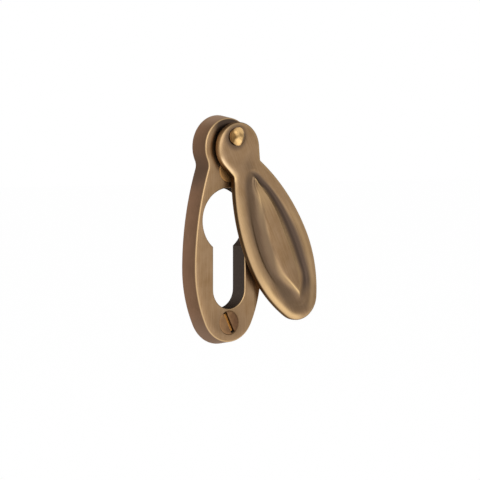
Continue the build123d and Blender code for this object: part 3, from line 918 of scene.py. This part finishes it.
def modelThread():
    s = screw
    piece = newPoint("screwThread", s["root"], 0, 0)
    lineOn(0, 0, s["valley"] * s["pitch"])
    lineOn(s["crest"] - s["root"], 0, s["flank"] * s["pitch"])
    lineOn(0, 0, s["land"] * s["pitch"])
    lineOn(s["root"] - s["crest"], 0, s["flank"] * s["pitch"])
    bpy.ops.object.mode_set(mode="OBJECT")
    wind = piece.modifiers.new("wind", "SCREW")
    wind.axis = "Z"
    wind.screw_offset = s["pitch"]
    wind.iterations = s["turns"]
    wind.steps = s["turnSteps"]
    wind.render_steps = s["turnSteps"]
    wind.use_merge_vertices = True
    bpy.ops.object.modifier_apply(modifier=wind.name)
    low = min(v.co.z for v in piece.data.vertices)
    high = max(v.co.z for v in piece.data.vertices)
    for v in piece.data.vertices:  # runs out to a gimlet point
        z = s["point"] + (v.co.z - low) * (s["threadTop"] - s["point"]) / (high - low)
        full = max(0.0, (z - s["point"]) / s["taper"]) ** s["taperCurve"]
        thin = min(1.0, s["pointThin"] + (1 - s["pointThin"]) * full)
        v.co = (v.co.x * thin, v.co.y * thin, z)
    bpy.ops.object.mode_set(mode="EDIT")
    bpy.ops.mesh.select_all(action="SELECT")
    bpy.ops.mesh.remove_doubles(threshold=weld["seam"])
    pick("edges", lambda e: e.is_boundary)
    bpy.ops.mesh.fill(use_beauty=True)
    outward()
    return piece


def modelScrew():
    s = screw
    thread = modelThread()
    piece = lathe("woodScrew", s["profile"], s["steps"])
    bpy.ops.object.select_all(action="DESELECT")
    bpy.ops.mesh.primitive_cube_add(size=1, location=(0, 0, s["profile"][0][1]))
    bpy.ops.transform.resize(value=(s["slotWidth"], s["slotLength"], 2 * s["slotDepth"]))
    cutAway(piece, bpy.context.object)
    bpy.context.view_layer.objects.active = piece
    bpy.ops.object.mode_set(mode="EDIT")
    half = s["slotWidth"] / 2
    pick("edges", lambda e: all(abs(abs(v.co.x) - half) < onLine for v in e.verts)
         and all(v.co.z > s["slotEdgeFrom"] for v in e.verts))
    bpy.ops.mesh.bevel(offset=s["slotEdge"], segments=s["slotEdgeSteps"], affect="EDGES")
    bpy.ops.object.mode_set(mode="OBJECT")
    thread.select_set(True)
    piece.select_set(True)
    bpy.ops.object.join()
    return piece


def placeScrew(piece, node):
    own = screw[node]
    piece.name = own["name"]
    piece.data.name = own["name"]
    piece.rotation_euler = (0, 0, math.radians(own["slotTurn"]))
    piece.location = (0, own["height"], 0)
    piece.data.materials.append(screwBrass[node])
    hangUp(piece, "plate", node, screw["smooth"])


upperScrew = modelScrew()
lowerScrew = upperScrew.copy()
lowerScrew.data = upperScrew.data.copy()
bpy.context.scene.collection.objects.link(lowerScrew)
placeScrew(upperScrew, "upper_screw")
placeScrew(lowerScrew, "lower_screw")

# The washer in the gap keeps its CAD shape
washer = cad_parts["spacer_washer"]
washer.data.materials.clear()
washer.data.materials.append(keyholeBrass)

# Camera: long lens, from the left of the front, almost level
view = {
    "azimuth": -37.5,
    "elevation": 2.0,
    "distance": 1.4286,
    "lens": 386.8,
    "middle": (0.0, -0.004, -0.008),
    "right": 0.00384,
    "up": 0.00255,
}
turn, rise = math.radians(view["azimuth"]), math.radians(view["elevation"])
back = Vector((math.sin(turn) * math.cos(rise), -math.cos(turn) * math.cos(rise), math.sin(rise)))
right = Vector((math.cos(turn), math.sin(turn), 0))
up = back.cross(right)
stand = Vector(view["middle"]) + view["right"] * right + view["up"] * up + view["distance"] * back
camera = bpy.data.objects.new("camera", bpy.data.cameras.new("camera"))
camera.data.lens = view["lens"]
camera.data.sensor_width = 36.0
camera.data.clip_end = 20.0
camera.matrix_world = Matrix.Translation(stand) @ Matrix((right, up, back)).transposed().to_4x4()
bpy.context.scene.collection.objects.link(camera)
bpy.context.scene.camera = camera
bpy.context.scene.view_settings.view_transform = "Standard"

# Studio: white all round, one large soft box beside the camera, a white card low in front and a pale floor
studio = {
    "world": 1.0,
    "boxAt": (-0.7, -1.5, 0.6), "boxSize": 1.8, "boxWatts": 15.0,
    "cardAt": (-0.2, -0.33, -0.075), "cardSize": 0.7, "cardGlow": 1.6,
    "floorAt": (0, 0, -0.08), "floorSize": 6.0, "floorGrey": 0.9,
    "floorWhite": 0.94,  # how much of the floor shows as plain white, the rest takes the shadow
}
white = (1, 1, 1, 1)
world = bpy.data.worlds.new("studio")
bpy.context.scene.world = world
world.use_nodes = True
world.node_tree.nodes["Background"].inputs["Color"].default_value = white
world.node_tree.nodes["Background"].inputs["Strength"].default_value = studio["world"]

lamp = bpy.data.lights.new("keyBox", "AREA")
lamp.size = studio["boxSize"]
lamp.energy = studio["boxWatts"]
keyBox = bpy.data.objects.new("keyBox", lamp)
keyBox.location = studio["boxAt"]
keyBox.rotation_euler = (-Vector(studio["boxAt"])).to_track_quat("-Z", "Y").to_euler()
bpy.context.scene.collection.objects.link(keyBox)

bpy.ops.object.select_all(action="DESELECT")
bpy.ops.mesh.primitive_plane_add(size=studio["cardSize"], location=studio["cardAt"])
card = bpy.context.object
card.name = "lowCard"
card.visible_camera = False
bounce = newMaterial("cardWhite")
glow = addNode(bounce, "ShaderNodeEmission", {"Color": white, "Strength": studio["cardGlow"]})
addNode(bounce, "ShaderNodeOutputMaterial", None, {"Surface": (glow, "Emission")})
card.data.materials.append(bounce)

bpy.ops.object.select_all(action="DESELECT")
bpy.ops.mesh.primitive_plane_add(size=studio["floorSize"], location=studio["floorAt"])
floor = bpy.context.object
floor.name = "floor"
pale = newMaterial("paleFloor")
grey = studio["floorGrey"]
ray = addNode(pale, "ShaderNodeLightPath")
shade = addNode(pale, "ShaderNodeBsdfDiffuse", {"Color": (grey, grey, grey, 1)})
glow = addNode(pale, "ShaderNodeEmission", {"Color": white, "Strength": 1.0})
mirrored = addNode(pale, "ShaderNodeMath", {"operation": "MAXIMUM"},
                   {0: (ray, "Is Glossy Ray"), 1: (ray, "Is Transmission Ray")})
plain = addNode(pale, "ShaderNodeMath", {"operation": "MAXIMUM"},
                {0: (ray, "Is Camera Ray"), 1: (mirrored, "Value")})
seen = addNode(pale, "ShaderNodeMath", {"operation": "MULTIPLY", 1: studio["floorWhite"]},
               {0: (plain, "Value")})
mix = addNode(pale, "ShaderNodeMixShader", None,
              {0: (seen, "Value"), 1: (shade, "BSDF"), 2: (glow, "Emission")})
addNode(pale, "ShaderNodeOutputMaterial", None, {"Surface": (mix, "Shader")})
floor.data.materials.append(pale)
print("studio ready")
